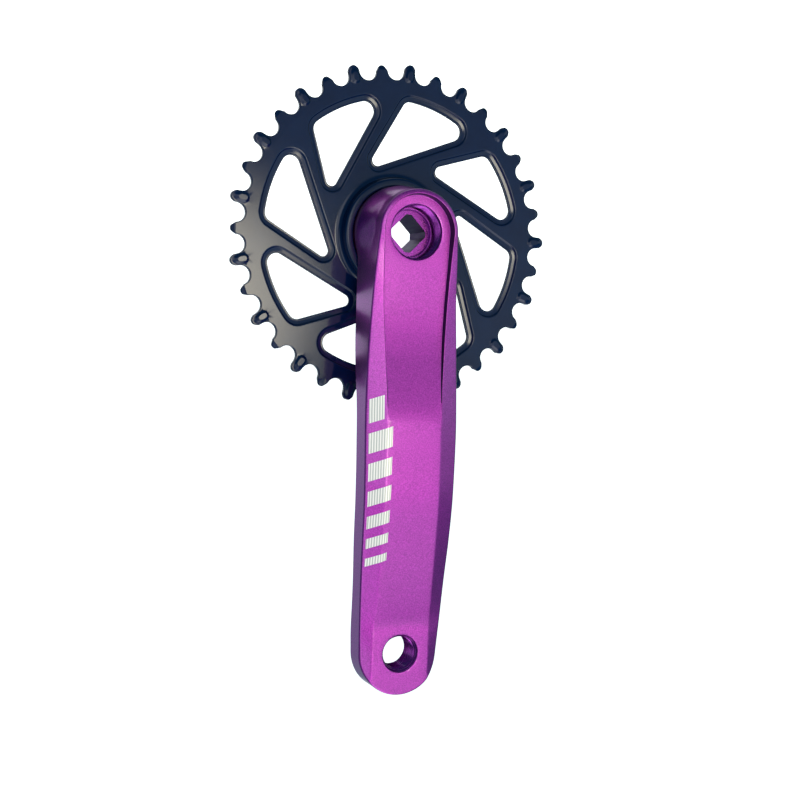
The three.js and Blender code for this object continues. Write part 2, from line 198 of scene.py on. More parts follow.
class Skin:
    """A closed surface, collected from strips and sheets that share their border lines."""

    def __init__(self):
        self.points = []
        self.faces = []
        self.finishes = []

    def add(self, points, faces, finishes):
        start = len(self.points)
        self.points.extend(points)
        self.faces.extend([start + i for i in face] for face in faces)
        self.finishes.extend(finishes)

    def strip(self, lines, finish=0):
        """Quads between neighbouring closed lines with the same number of points.

        finish is a material's number, or one number for each point of a line.
        """
        n = len(lines[0])
        faces = []
        for k in range(len(lines) - 1):
            for i in range(n):
                j = (i + 1) % n
                faces.append((k * n + i, k * n + j, (k + 1) * n + j, (k + 1) * n + i))
        self.add(np.concatenate(lines), faces, np.broadcast_to(finish, n).tolist() * (len(lines) - 1))

    def sheet(self, outer, holes, height, spacing, closed=(), opened=(), finish=None):
        """Triangles inside the outer line and outside the holes, through every other line.

        The triangles follow the closed and opened lines too. height gives the depth of the points
        that fill the space between the lines, and finish gives the material's number, or 0.
        """
        loops = [outer, *holes, *closed]
        points = np.concatenate([*loops, *opened])
        edges, start = [], 0
        for line in loops:
            edges += [(start + i, start + (i + 1) % len(line)) for i in range(len(line))]
            start += len(line)
        for line in opened:
            edges += [(start + i, start + i + 1) for i in range(len(line) - 1)]
            start += len(line)

        def within(x, z):
            kept = inside(x, z, outer)
            for hole in holes:
                kept &= ~inside(x, z, hole)
            return kept

        low, high = outer.min(0), outer.max(0)
        columns = np.arange(low[0], high[0], spacing)
        rows = np.arange(low[2], high[2], spacing * ROW_SHARE)
        x, z = np.meshgrid(columns, rows)
        x[1::2] += spacing / 2
        x, z = x.ravel(), z.ravel()
        kept = within(x, z)
        x, z = x[kept], z[kept]
        tree = kdtree.KDTree(len(points))
        for i, p in enumerate(points):
            tree.insert((p[0], p[2], 0), i)
        tree.balance()
        clear = np.array([tree.find((a, b, 0))[2] > spacing * CLEAR_SHARE for a, b in zip(x, z)], bool)
        x, z = x[clear], z[clear]
        points = np.concatenate([points, np.stack([x, height(x, z), z], -1)])

        made = delaunay_2d_cdt([Vector((p[0], p[2])) for p in points], edges, [], 0, MERGE)
        flat = np.array([(v.x, v.y) for v in made[0]])
        y = height(flat[:, 0], flat[:, 1])
        for i, origins in enumerate(made[3]):
            if origins:
                y[i] = points[origins[0], 1]
        faces = np.array(made[2])
        middle = flat[faces].mean(1)
        faces = faces[within(middle[:, 0], middle[:, 1])]
        middle = flat[faces].mean(1)
        finishes = finish(middle[:, 0], middle[:, 1]) if finish else np.zeros(len(faces), int)
        self.add(at_depth(flat, y), faces.tolist(), finishes.tolist())

    def piece(self, name, node, materials):
        """Make the finished object, which stands for a CAD node."""
        mesh = bpy.data.meshes.new(name)
        mesh.from_pydata([tuple(p) for p in np.array(self.points) * MM], [], self.faces)
        mesh.polygons.foreach_set("material_index", self.finishes)
        shape = bmesh.new()
        shape.from_mesh(mesh)
        bmesh.ops.remove_doubles(shape, verts=shape.verts, dist=MERGE)
        loose = [v for v in shape.verts if not v.link_faces]
        bmesh.ops.delete(shape, geom=loose, context="VERTS")
        bmesh.ops.recalc_face_normals(shape, faces=shape.faces)
        limit = math.radians(SHARP_DEGREES)
        for edge in shape.edges:
            edge.smooth = not (edge.is_manifold and edge.calc_face_angle() > limit)
        for face in shape.faces:
            face.smooth = True
        shape.to_mesh(mesh)
        shape.free()
        for material in materials:
            mesh.materials.append(material)
        made = bpy.data.objects.new(name, mesh)
        bpy.context.scene.collection.objects.link(made)
        normals = made.modifiers.new("even_normals", "WEIGHTED_NORMAL")
        normals.keep_sharp = True
        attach(made, "root")
        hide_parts(node)


def turned(profile, points, centre=(0, 0)):
    """Circles about an axis along Y, one for each (radius, y) pair."""
    return [circle(radius, y, points, centre) for radius, y in profile]


def threaded(minor, major, pitch, start, end, points, centre=(0, 0)):
    """A right-hand thread's wall, as circles whose radius winds round with the thread."""
    lines_per_pitch = 8
    fade = 0.6 * pitch                # the thread rises and runs out over this length
    flank, root = 2.4, 0.1            # its slope, and how much of it is cut off flat
    angle = np.arange(points) * TURN / points
    lines = []
    for y in np.arange(start, end, pitch / lines_per_pitch):
        phase = (y / pitch + angle / TURN) % 1
        ridge = np.clip(flank * np.abs(phase - 0.5) - root, 0, 1)
        ends = min(y - start, end - y, fade) / fade
        radius = major - (major - minor) * ridge * ends
        lines.append(at_depth(np.asarray(centre) + polar(radius, angle), y))
    return lines


# ---- crank arm ------------------------------------------------------------------------------

# The arm's shape down its length, as (z, value) pairs.
half_width = along([
    (0, TOP_RADIUS), (-11, 17.7), (-27, 18.4), (-51, 19.5), (-75, 20), (-95, 19.7),
    (-123, 19.1), (-148, 18.1), (-161, 17.5), (-170, PEDAL_RADIUS),
])
edge_y = along([                 # where the outer face meets the side wall
    (0, -29.3), (-11, -28.4), (-27, -27.2), (-51, -27.4), (-67, -28.1), (-85, -29.1),
    (-107, -29.4), (-123, -28.2), (-140, -26.3), (-160, -24.8), (-172, -24),
])
crest_half_width = along([       # half of the raised middle band, and of the pocket in it
    (0, 15), (-27, 13.8), (-51, 12.5), (-67, 11.8), (-107, 11.7), (-140, 11.8), (-172, 12.4),
])
crest_y = along([
    (0, -29.9), (-11, -28.8), (-27, -28.1), (-39, -28.6), (-51, -29.5), (-67, -31.0), (-79, -31.85),
    (-93, -32.15), (-107, -32.2), (-123, -30.9), (-140, -29.1), (-150, -27.7), (-158, PEDAL_FACE_Y),
    (-162, PEDAL_FACE_Y),
])
back_y = along([
    (-20, -8.1), (-28, -8.7), (-40, -9.9), (-52, -12.3), (-68, -16.4), (-80, -17.8),
    (-107, -18), (-123, -17), (-140, -16.1), (-150, -15), (-162, -13.4), (-170, -13),
])
pocket_floor_y = along([
    (0, FLOOR_Y), (-12, FLOOR_Y), (-26, -25.6), (-37, -26.0), (-47, -27.05), (-55, -28.36),
    (-59, -29.06), (-63, -29.78), (-68, -30.63), (-71, -31.12), (-73.5, -31.46),
    (POCKET_END_Z, float(crest_y(POCKET_END_Z))),
])
back_chamfer = along([(-12, 0.2), (-34, 1.7)])

# The boss behind the arm, as (y, radius) pairs, and the depths between which it grows out of the arm.
boss_radius = along([(-11, 19.7), (-14, 19.1), (-24, 16.8)])
BOSS_BLEND = (-25, -18)

CREASE = 0.5                     # width over which the crest lines are rounded
EDGE_ROUND = 0.7                 # radius of the arm's front edge
RIM_ROUND = 0.4                  # radii at the top and the foot of the pocket's wall
FOOT_ROUND = 0.35
WALL_DRAFT = 0.12                # how far that wall leans
SHADE_DEPTH = 0.35                # where the pocket is deeper than this, its wall and the inner part of its rim are painted shade in the dark material
WALL_LINES = 17                  # down the arm's side

# The socket's section at the bolt seat: a square with cut corners, in a taper of 2 degrees.
TAPER_FLATS = 12.3
TAPER_CORNER = 7.6               # centre to a cut corner
TAPER_SLOPE = math.tan(math.radians(2))

# Threads, as (ridge's radius, groove's radius, pitch).
EXTRACTOR_THREAD = (10.45, 11.0, 1.0)
PEDAL_THREAD = (6.55, 7.15, 1.27)

# Turned walls, as (radius, y) pairs from the outer face inwards.
BORE_MOUTH_RADIUS = 11.4
BORE_LEAD = [(11.18, -25.92), (11.05, -25.65), (11.03, -25.4)]
BORE_END = [
    (11.0, -19.85), (11.15, -19.7), (11.15, -18.95), (11.0, -18.8), (9.7, -18.8), (9.48, -18.7),
    (9.4, -18.5), (9.4, -17.3), (9.3, SEAT_Y),
]
PEDAL_MOUTH_RADIUS = 7.95
PEDAL_STEP = [(7.78, -26.33), (7.66, -26.15), (7.62, -25.6), (7.5, -25.45), (7.2, -25.15)]
PEDAL_END = [(7.15, -13.85)]
PEDAL_BACK_RADIUS = 7.6
BOSS_END = [(BOSS_REAR_RADIUS, SHOULDER_Y - 0.4), (BOSS_REAR_RADIUS - 0.4, SHOULDER_Y)]
SPIGOT_CHAMFER = 0.3

# The arm's finishes, by the number of their material. The dark machined one is also painted shade on the
# pocket's wall, and the cut one is partly painted shade inside the holes.
MACHINED_AND_SHADE, ETCHED, CUT_AND_SHADE = 1, 2, 3


def arm_outline():
    side = np.arange(-OUTLINE_STEP, PEDAL_Z + 1, -OUTLINE_STEP)
    return np.concatenate([
        arc((0, 0), TOP_RADIUS, 0, math.pi, 54),
        np.stack([-half_width(side), side], -1),
        arc((0, PEDAL_Z), PEDAL_RADIUS, math.pi, TURN, 50),
        np.stack([half_width(side), side], -1)[::-1],
    ])


def pocket_outline():
    side = np.arange(-OUTLINE_STEP, POCKET_END_Z, -OUTLINE_STEP)
    across = np.arange(-10, 11, OUTLINE_STEP)
    corner = crest_half_width(POCKET_END_Z)
    return np.concatenate([
        arc((0, 0), crest_half_width(0), 0, math.pi, 54),
        np.stack([-crest_half_width(side), side], -1),
        [(-corner, POCKET_END_Z)],
        np.stack([across, np.full(len(across), POCKET_END_Z)], -1),
        [(corner, POCKET_END_Z)],
        np.stack([crest_half_width(side), side], -1)[::-1],
    ])


def arm_face(x, z):
    """Depth of the arm's outer face where there is no pocket: a crest with a sloped facet on each side."""
    from_axis = np.where(z > 0, np.hypot(x, z), np.abs(x))
    crest = crest_half_width(z)
    slope = (edge_y(z) - crest_y(z)) / (half_width(z) - crest)
    past = from_axis - crest
    return crest_y(z) + slope * (past + np.sqrt(past**2 + CREASE**2)) / 2


def pocket_wall(x, z, inward):
    """Depth of the pocket's wall at a distance inside the pocket's outline."""
    top = arm_face(x, z)
    height = np.clip(pocket_floor_y(z) - top, 0, None)
    rim = np.clip(height / 2, 1e-3, RIM_ROUND)
    foot = np.clip(height / 2, 1e-3, FOOT_ROUND)
    if inward <= 0:
        into = np.clip(inward + rim, 0, rim)
        return top + rim - np.sqrt(rim**2 - into**2)
    if inward <= WALL_DRAFT:
        return top + rim + (height - rim - foot) * inward / WALL_DRAFT
    left = np.clip(foot - (inward - WALL_DRAFT), 0, foot)
    return top + height - foot + np.sqrt(foot**2 - left**2)


def pocket_lines():
    """Lines down the pocket's wall: five round its rim, two on the wall and four round its foot."""
    outline = pocket_outline()
    inward = [-RIM_ROUND * (1 - step) for step in (0, 0.3, 0.6, 0.85, 1)]
    inward += [WALL_DRAFT / 2, WALL_DRAFT]
    inward += [WALL_DRAFT + FOOT_ROUND * step for step in (0.15, 0.4, 0.7, 1)]
    lines = []
    for distance in inward:
        flat = grown(outline, -distance)
        lines.append(at_depth(flat, pocket_wall(flat[:, 0], flat[:, 1], distance)))
    return lines


def flared(outline, y):
    """The arm's outline at a depth, pushed out by the boss, which widens towards the chainring."""
    x, z = outline.T
    own = np.where(z >= 0, TOP_RADIUS, half_width(z))
    reach = np.where(z >= 0, boss_radius(y), np.sqrt(np.clip(boss_radius(y)**2 - z**2, 0, None)))
    blend = smooth_step(*BOSS_BLEND, y)
    share = (own + reach + np.sqrt((own - reach)**2 + blend**2)) / 2 / own
    share = np.where(z > -2 * TOP_RADIUS, share, 1)
    return np.stack([x * share, np.where(z >= 0, z * share, z)], -1)


def front_edge(outline):
    """Lines round the rounded front edge, from the side wall to the face."""
    lines = []
    for angle in np.linspace(0, math.pi / 2, 6):
        flat = grown(outline, -EDGE_ROUND * (1 - math.cos(angle)))
        y = arm_face(flat[:, 0], flat[:, 1]) + EDGE_ROUND * (1 - math.sin(angle))
        lines.append(at_depth(flat, y))
    return lines


def side_wall(outline, front):
    """Lines from the front edge to the back face, with the chamfer between them."""
    z = outline[:, 1]
    rear = back_y(z) - back_chamfer(z)
    lines = []
    for share in np.linspace(0, 1, WALL_LINES + 1)[1:]:
        y = front[:, 1] + (rear - front[:, 1]) * share
        lines.append(at_depth(flared(outline, y), y))
    last = lines[-1][:, [0, 2]]
    lines.append(at_depth(grown(last, -back_chamfer(z)), back_y(z)))
    return lines


def crest_lines():
    """Lines along both crests below the pocket, which end short of the arm's round end."""
    z = np.arange(POCKET_END_Z - 1, PEDAL_Z - PEDAL_RADIUS, -OUTLINE_STEP)
    lines = []
    for side in (-1, 1):
        for beside in (-0.6, -0.25, 0, 0.25, 0.6):
            x = side * (crest_half_width(z) + beside)
            below = z < PEDAL_Z
            room = np.where(below, PEDAL_RADIUS - np.hypot(x, z - PEDAL_Z), half_width(z) - np.abs(x))
            clear = room > 2 * EDGE_ROUND
            flat = np.stack([x, z], -1)[clear]
            lines.append(at_depth(flat, arm_face(flat[:, 0], flat[:, 1])))
    return lines


# The silver marking etched across the left crest: plain slanted bars that shrink downwards.
BAR_TOP_Z = -67.2
BAR_HEIGHTS = [9.5, 8.0, 7.0, 6.0, 5.0, 4.0, 3.2]
BAR_SPACE = 4.0
BAR_SLOPE = 0.35                 # rise towards the middle, for each millimetre across
BAR_RIGHT = 9.4                  # distance from the arm's middle plane to the bars' right ends
BAR_MARGIN = 1.2                 # least distance to the arm's edge and to the pocket's rim


def marking_bars():
    """Each bar's corners in X and Z, anticlockwise from its lower left."""
    bars = []
    z = BAR_TOP_Z
    for height in BAR_HEIGHTS:
        upper_right = z + (half_width(z) - BAR_MARGIN - BAR_RIGHT) * BAR_SLOPE
        beside_pocket = upper_right > POCKET_END_Z - BAR_MARGIN
        right = crest_half_width(z) + BAR_MARGIN if beside_pocket else BAR_RIGHT
        top, bottom = [], []
        for end, corners in ((z, top), (z - height, bottom)):
            left = half_width(end) - BAR_MARGIN
            corners += [(-left, end), (-right, end + (left - right) * BAR_SLOPE)]
        bars.append(np.array([*bottom, *top[::-1]]))
        z -= height + BAR_SPACE
    return bars


def bar_line(bar):
    """A bar's border, with points about a millimetre apart, on the arm's face."""
    sides = []
    for a, b in zip(bar, np.roll(bar, -1, 0)):
        steps = math.ceil(np.linalg.norm(b - a))
        sides.append(a + (b - a) * (np.arange(steps) / steps)[:, None])
    flat = np.concatenate(sides)
    return at_depth(flat, arm_face(flat[:, 0], flat[:, 1]))


def taper_line(y, grow=0.0):
    """The square socket's section: a square with cut corners, its corners on the X and Z axes."""
    wider = (y - SEAT_Y) * TAPER_SLOPE + grow
    diagonal = (TAPER_FLATS / 2 + wider) * math.sqrt(2)
    corner = TAPER_CORNER + wider
    cut = diagonal - corner
    flat = []
    for quarter in range(4):
        axis = polar(1, quarter * TURN / 4)
        across = np.array([-axis[1], axis[0]])
        flat += [axis * corner + across * cut * side for side in (-1, -0.33, 0.33)]
        start = axis * corner + across * cut
        end = across * corner + axis * cut
        flat += [start + (end - start) * step / 8 for step in range(8)]
    return at_depth(np.array(flat), y)


def spline_outline(grow=0.0):
    tooth = [                    # radius, share of the way to the next tooth
        (SPIGOT_ROOT, -0.32), (SPIGOT_TIP, -0.16), (SPIGOT_TIP, 0), (SPIGOT_TIP, 0.16),
        (SPIGOT_ROOT, 0.32), (SPIGOT_ROOT, 0.5),
    ]
    teeth = []
    for number in range(SPLINES):
        teeth += [polar(radius + grow, (number + phase) * TURN / SPLINES) for radius, phase in tooth]
    return np.array(teeth)


def screw_axes():
    centres = [sum(cad_mm(node)) / 2 for node in SCREWS]
    return [centre[[0, 2]] for centre in centres]


def level(y):
    """The height of a flat sheet."""
    return lambda x, z: np.full(len(x), float(y))


def only(finish):
    """The finish of a sheet that has one material."""
    return lambda x, z: np.full(len(x), finish)


def add_outer_face(arm, edge, pedal_mouth):
    """The pocket's wall and the faces round it and in it. Returns the mouth of the bore."""
    rim = pocket_lines()
    flat = pocket_outline()
    painted_shade = pocket_floor_y(flat[:, 1]) - arm_face(*flat.T) > SHADE_DEPTH
    arm.strip(rim[:3])
    # Painted shade: where the pocket is deep, the inner part of its rim, its wall and the top of its foot
    # take the dark machined material.
    arm.strip(rim[2:8], finish=np.where(painted_shade, MACHINED_AND_SHADE, 0))
    arm.strip(rim[7:])
    bars = [bar_line(bar) for bar in marking_bars()]

    def marking(x, z):
        return ETCHED * np.any([inside(x, z, bar) for bar in bars], axis=0)

    holes = [rim[0], pedal_mouth]
    arm.sheet(edge, holes, arm_face, 1.6, closed=bars, opened=crest_lines(), finish=marking)
    bore_mouth = circle(BORE_MOUTH_RADIUS, FLOOR_Y, BORE_POINTS)
    arm.sheet(rim[-1], [bore_mouth], lambda x, z: pocket_floor_y(z), 1.6)
    return bore_mouth


def add_bore(arm, bore_mouth):
    """The extractor bore, the bolt seat and the square socket. Returns the socket's inboard end."""
    # The bore's walls and the bolt seat take the cut material, whose darker colour is partly painted shade.
    bore = [bore_mouth, *turned(BORE_LEAD, BORE_POINTS)]
    bore += threaded(*EXTRACTOR_THREAD, -25.4, -19.9, BORE_POINTS)
    bore += turned(BORE_END, BORE_POINTS)
    arm.strip(bore, finish=CUT_AND_SHADE)
    socket_mouth = taper_line(SEAT_Y, 0.08)
    arm.sheet(bore[-1], [socket_mouth], level(SEAT_Y), 1.2, finish=only(CUT_AND_SHADE))
    socket = [socket_mouth, *[taper_line(y) for y in np.linspace(SEAT_Y + 0.2, SPIGOT_Y - 0.3, 6)]]
    socket.append(taper_line(SPIGOT_Y, 0.3))
    arm.strip(socket, finish=MACHINED_AND_SHADE)
    return socket[-1]


def add_pedal_hole(arm, pedal_mouth, pedal_axis):
    """The hole from the outer face to the back. Returns its mouth in the back."""
    # The hole's walls take the cut material, whose darker colour is partly painted shade.
    hole = [pedal_mouth, *turned(PEDAL_STEP, BORE_POINTS, pedal_axis)]
    hole += threaded(*PEDAL_THREAD, -25.1, -13.9, BORE_POINTS, pedal_axis)
    hole += turned(PEDAL_END, BORE_POINTS, pedal_axis)
    back_mouth = circle(PEDAL_BACK_RADIUS, 0, BORE_POINTS, pedal_axis)
    back_mouth[:, 1] = back_y(back_mouth[:, 2])
    arm.strip([*hole, back_mouth], finish=CUT_AND_SHADE)
    return back_mouth


def add_back(arm, wall_end, back_mouth, socket_end):
    """The back face, the boss, the face that the chainring sits on and the splined spigot."""
    boss_foot = circle(BOSS_REAR_RADIUS, back_y(0.0), BORE_POINTS)
    arm.sheet(wall_end, [boss_foot, back_mouth], lambda x, z: back_y(z), 2.0)
    boss = [boss_foot, *turned(BOSS_END, BORE_POINTS)]
    arm.strip(boss)
    spigot = spline_outline()
    foot = at_depth(spigot, SHOULDER_Y)
    screw_holes = [circle(SCREW_HOLE, SHOULDER_Y, HOLE_POINTS, axis) for axis in screw_axes()]
    arm.sheet(boss[-1], [foot, *screw_holes], level(SHOULDER_Y), 1.6)
    hole_end = SHOULDER_Y - SCREW_HOLE_DEPTH
    for mouth, axis in zip(screw_holes, screw_axes()):
        bottom = circle(SCREW_HOLE, hole_end, HOLE_POINTS, axis)
        arm.strip([mouth, bottom], finish=MACHINED_AND_SHADE)
        arm.sheet(bottom, [], level(hole_end), 1.0, finish=only(MACHINED_AND_SHADE))
    nose = at_depth(grown(spigot, -SPIGOT_CHAMFER), SPIGOT_Y)
    arm.strip([foot, at_depth(spigot, SPIGOT_Y - SPIGOT_CHAMFER), nose], finish=MACHINED_AND_SHADE)
    arm.sheet(nose, [socket_end], level(SPIGOT_Y), 1.2, finish=only(MACHINED_AND_SHADE))


# The machined and cut materials also carry painted shade: the first on the pocket's wall, the second inside
# the bores and the pedal hole.
def crank_arm(blasted, machined, etched, cut):
    arm = Skin()
    outline = arm_outline()
    edge = front_edge(outline)
    arm.strip(edge)
    wall = side_wall(outline, edge[0])
    arm.strip([edge[0], *wall])
    pedal_axis = (0, PEDAL_Z)
    pedal_mouth = circle(PEDAL_MOUTH_RADIUS, PEDAL_FACE_Y, BORE_POINTS, pedal_axis)
    bore_mouth = add_outer_face(arm, edge[-1], pedal_mouth)
    socket_end = add_bore(arm, bore_mouth)
    back_mouth = add_pedal_hole(arm, pedal_mouth, pedal_axis)
    add_back(arm, wall[-1], back_mouth, socket_end)
    arm.piece("arm", "crank_arm", [blasted, machined, etched, cut])


# ---- chainring ------------------------------------------------------------------------------

EDGE_BREAK = 0.3                 # small chamfer round the teeth and the windows' rear edges
TIP_BEVEL_FROM = PITCH_RADIUS - 0.7          # radius where the narrow teeth start to slope back
TIP_BEVEL_SLOPE = 0.42

# Half of a tooth's tip, as (half width, height over the pitch circle).
WIDE_TIP = [(2.3, 0.1), (1.9, 1.0), (1.1, 1.9), (0, 2.2)]
NARROW_TIP = [(2.1, -0.9), (1.5, 0.2), (0.9, 0.9), (0, 1.1)]

# Half of a wide tooth's raised pad, as (half width, radius past the root circle), from the ring's side
# of it to the tooth's tip: its foot on the plate, and the top that it narrows to.
PAD_FOOT = [
    (0, -0.7), (1.15, -0.45), (1.95, 0.3), (2.2, 1.6), (2.1, 3.0), (1.9, 4.3), (1.45, 5.4), (0.8, 6.2),
    (0, 6.5),
]
PAD_TOP = [
    (0, 0.5), (0.5, 0.6), (0.85, 0.95), (0.95, 1.6), (0.95, 2.4), (0.9, 3.0), (0.7, 3.5), (0.4, 3.8),
    (0, 3.9),
]

# The pad's flank, as (share of the way from foot to top, share of the height). The top goes on inwards.
PAD_RISE = [(0, 0), (0.12, 0.06), (0.5, 0.54), (0.86, 0.95), (0.94, 1), (1, 1), (1.2, 1)]


def tooth_angle(number):
    return FIRST_WIDE_ANGLE + number * TURN / TEETH


def about_tooth(pairs, number):
    """Points from (sideways, radius) pairs measured along a tooth's own middle line."""
    sideways, radius = np.array(pairs, float).T
    return polar(np.hypot(radius, sideways), tooth_angle(number) - np.arctan2(sideways, radius))


def tooth_outline():
    flat = []
    for number in range(TEETH):
        half = WIDE_TIP if number % 2 == 0 else NARROW_TIP
        both = [*half, *[(-sideways, height) for sideways, height in half[-2::-1]]]
        flat.append(about_tooth([(sideways, PITCH_RADIUS + height) for sideways, height in both], number))
        gap = tooth_angle(number + 0.5)
        centre = polar(ROOT_RADIUS + ROLLER_SEAT, gap)
        inwards = gap + math.pi
        flat.append(arc(centre, ROLLER_SEAT, inwards + ROLLER_HALF_ANGLE, inwards - ROLLER_HALF_ANGLE, 8))
    return rounded(rounded(np.concatenate(flat)))


def tip_bevel(x, z):
    """How far the narrow teeth's tips slope back from the plate's faces."""
    nearest = np.round((np.arctan2(z, x) - FIRST_WIDE_ANGLE) / (TURN / TEETH)).astype(int)
    past = np.clip(np.hypot(x, z) - TIP_BEVEL_FROM, 0, None)
    return np.where(nearest % 2 == 1, past * TIP_BEVEL_SLOPE, 0)


def pad_lines(number, face, outwards):
    """Lines of a wide tooth's pad, from its foot on the plate to its flat top."""
    foot, top = np.array(PAD_FOOT), np.array(PAD_TOP)
    lines = []
    for share, rise in PAD_RISE:
        half = foot + (top - foot) * share
        half[:, 1] += ROOT_RADIUS
        pairs = np.concatenate([half, half[-2:0:-1] * [-1, 1]])
        flat = rounded(about_tooth(pairs[::-1], number))
        lines.append(at_depth(flat, face + outwards * PAD_HEIGHT * rise))
    return lines


# Windows. The corners are given for the first window, whose number is 0.
OUTER_CORNERS = [(math.radians(106), 4.0), (math.radians(128.7), 3.8)]     # angle, radius
INNER_CORNERS = [((-27.9, 20.8), 2.5), ((-27.3, 15.9), 2.4)]     # centre, radius: short and long windows

# The border round each window: (distance from the opening, depth behind the plate's outer face).
WINDOW_BORDER = [
    (3.1, 0), (2.95, 0), (2.75, 0.03), (2.6, 0.12), (2.45, 0.32), (2.3, 0.55), (2.15, 0.66), (1.9, 0.7),
    (0.85, 0.82), (0.72, 0.83), (0.6, 0.82), (0.2, 0.77), (0.06, 0.8), (0, 0.9), (0, 1.55),
]

# The collar round the boss, as (radius, y) pairs from the plate up its outside and down its bore.
COLLAR = [
    (26.1, PLATE_FRONT_Y), (25.9, PLATE_FRONT_Y), (25.4, -2.24), (24.8, -2.4), (24.25, -2.7),
    (23.85, -3.15), (23.6, -3.7), (23.5, -4.4), (23.35, -6.3), (23.25, -6.7), (23.0, -7.05),
    (22.6, -7.3), (22.1, COLLAR_FRONT_Y), (20.6, COLLAR_FRONT_Y), (20.2, -7.25), (COLLAR_BORE, -6.9),
    (COLLAR_BORE, SHOULDER_Y + GAP),
]


def window_outline(number, grow):
    """One window's outline: round corners, straight sides and an outer side that follows the ring."""
    corners = [
        (polar(WINDOW_OUTER_RADIUS - radius, angle), radius + grow, angle) for angle, radius in OUTER_CORNERS
    ]
    centre, radius = INNER_CORNERS[number % 2]
    inner = (np.array(centre), radius + grow)

    def tangent_normal(a, b):
        """Direction of the outward normal of the line that touches circle a and then circle b."""
        d = b[0] - a[0]
        return math.atan2(d[1], d[0]) - math.acos((a[1] - b[1]) / math.hypot(*d))

    first, second = corners
    into_first = tangent_normal(inner, first)
    out_of_second = tangent_normal(second, inner)
    start = first[2] - (first[2] - into_first) % TURN
    leave = second[2] + (out_of_second - second[2]) % TURN
    end = out_of_second + (into_first - out_of_second) % TURN
    flat = np.concatenate([
        arc(first[0], first[1], start, first[2], 12),
        arc((0, 0), WINDOW_OUTER_RADIUS + grow, first[2], second[2], 20)[1:-1],
        arc(second[0], second[1], second[2], leave, 12),
        arc(inner[0], inner[1], out_of_second, end, 16),
    ])
    turn = -number * TURN / WINDOWS
    spin = np.array([[math.cos(turn), math.sin(turn)], [-math.sin(turn), math.cos(turn)]])
    return flat @ spin


def window_lines(number):
    """Lines from a window's border on the outer face to its edge in the rear face."""
    lines = [
        at_depth(window_outline(number, grow), PLATE_FRONT_Y + depth) for grow, depth in WINDOW_BORDER
    ]
    lines.append(at_depth(window_outline(number, 0), PLATE_BACK_Y - EDGE_BREAK))
    lines.append(at_depth(window_outline(number, EDGE_BREAK), PLATE_BACK_Y))
    return lines


def chainring(black):
    ring = Skin()
    outline = tooth_outline()
    inner = grown(outline, -EDGE_BREAK)
    bevel, inner_bevel = tip_bevel(*outline.T), tip_bevel(*inner.T)
    front = at_depth(inner, PLATE_FRONT_Y + inner_bevel)
    back = at_depth(inner, PLATE_BACK_Y - inner_bevel)
    ring.strip([
        front, at_depth(outline, PLATE_FRONT_Y + bevel + EDGE_BREAK),
        at_depth(outline, PLATE_BACK_Y - bevel - EDGE_BREAK), back,
    ])

    windows = [window_lines(number) for number in range(WINDOWS)]
    for lines in windows:
        ring.strip(lines)
    collar = turned(COLLAR, COLLAR_POINTS)
    ring.strip(collar)

    # The web inside the collar, with the splined opening and the screw holes.
    web_y = SHOULDER_Y + GAP
    spline = spline_outline(GAP)
    mouths = []
    for axis in screw_axes():
        mouths.append([circle(SCREW_HOLE, y, HOLE_POINTS, axis) for y in (web_y, PLATE_BACK_Y)])
    spline_front, spline_back = at_depth(spline, web_y), at_depth(spline, PLATE_BACK_Y)
    ring.sheet(collar[-1], [spline_front, *[mouth[0] for mouth in mouths]], level(web_y), 2.0)
    ring.strip([spline_front, spline_back])
    for mouth in mouths:
        ring.strip(mouth)

    wide = range(0, TEETH, 2)
    pads = [line for number in wide for line in pad_lines(number, PLATE_FRONT_Y, -1)]
    ring.sheet(
        front, [collar[0], *[lines[0] for lines in windows]],
        lambda x, z: PLATE_FRONT_Y + tip_bevel(x, z), 3.0, closed=pads,
    )
    pads = [line for number in wide for line in pad_lines(number, PLATE_BACK_Y, 1)]
    ring.sheet(
        back, [spline_back, *[mouth[1] for mouth in mouths], *[lines[-1] for lines in windows]],
        lambda x, z: PLATE_BACK_Y - tip_bevel(x, z), 3.0, closed=pads,
    )
    ring.piece("ring", "chainring", [black])


# ---- chainring screws -----------------------------------------------------------------------

def chainring_screw(number, steel):
    """A low-headed screw with a six-lobed recess, its head on the ring's inboard face."""
    node = SCREWS[number]
    low, high = cad_mm(node)
    axis = (low + high)[[0, 2]] / 2
    head = (high[0] - low[0]) / 2
    top, tip = high[1], low[1]
    seat = PLATE_BACK_Y + GAP
    shank, core = SCREW_RADIUS, SCREW_RADIUS - SCREW_THREAD_HEIGHT
    angle = np.arange(SCREW_POINTS) * TURN / SCREW_POINTS

    def lobes(size, y):
        radius = size * (RECESS_RADIUS + RECESS_LOBE * np.cos(6 * angle))
        return at_depth(axis + polar(radius, angle), y)

    screw = Skin()
    point = [(core - 0.25, tip), (core, tip + 0.35)]
    thread = threaded(shank, core, SCREW_PITCH, tip + 0.5, seat - 1.2, SCREW_POINTS, axis)
    neck_and_head = [
        (shank, seat - 1.1), (shank, seat - 0.1), (shank + 0.1, seat), (head - 0.2, seat), (head, seat + 0.2),
        (head, top - 0.9), (head - 0.12, top - 0.55), (head - 0.45, top - 0.2), (head - 0.9, top - 0.05),
        (head - 1.2, top),
    ]
    body = [
        *turned(point, SCREW_POINTS, axis), *thread, *turned(neck_and_head, SCREW_POINTS, axis),
    ]
    screw.strip(body)
    screw.sheet(body[0], [], level(tip), 0.8)
    floor = top - RECESS_DEPTH
    recess = [lobes(1.06, top), lobes(1, top - 0.1), lobes(0.98, floor)]
    screw.sheet(body[-1], [recess[0]], level(top), 0.8)
    screw.strip(recess)
    screw.sheet(recess[-1], [], level(floor), 0.8)
    screw.piece(f"screw_{number + 1}", node, [steel])


# ---- materials ------------------------------------------------------------------------------

MIX_FIRST, MIX_SECOND, MIX_RESULT = 6, 7, 2     # a Mix node's colour sockets
FACTOR_LOW, FACTOR_HIGH = 0.3, 0.7               # where most of a noise's values lie


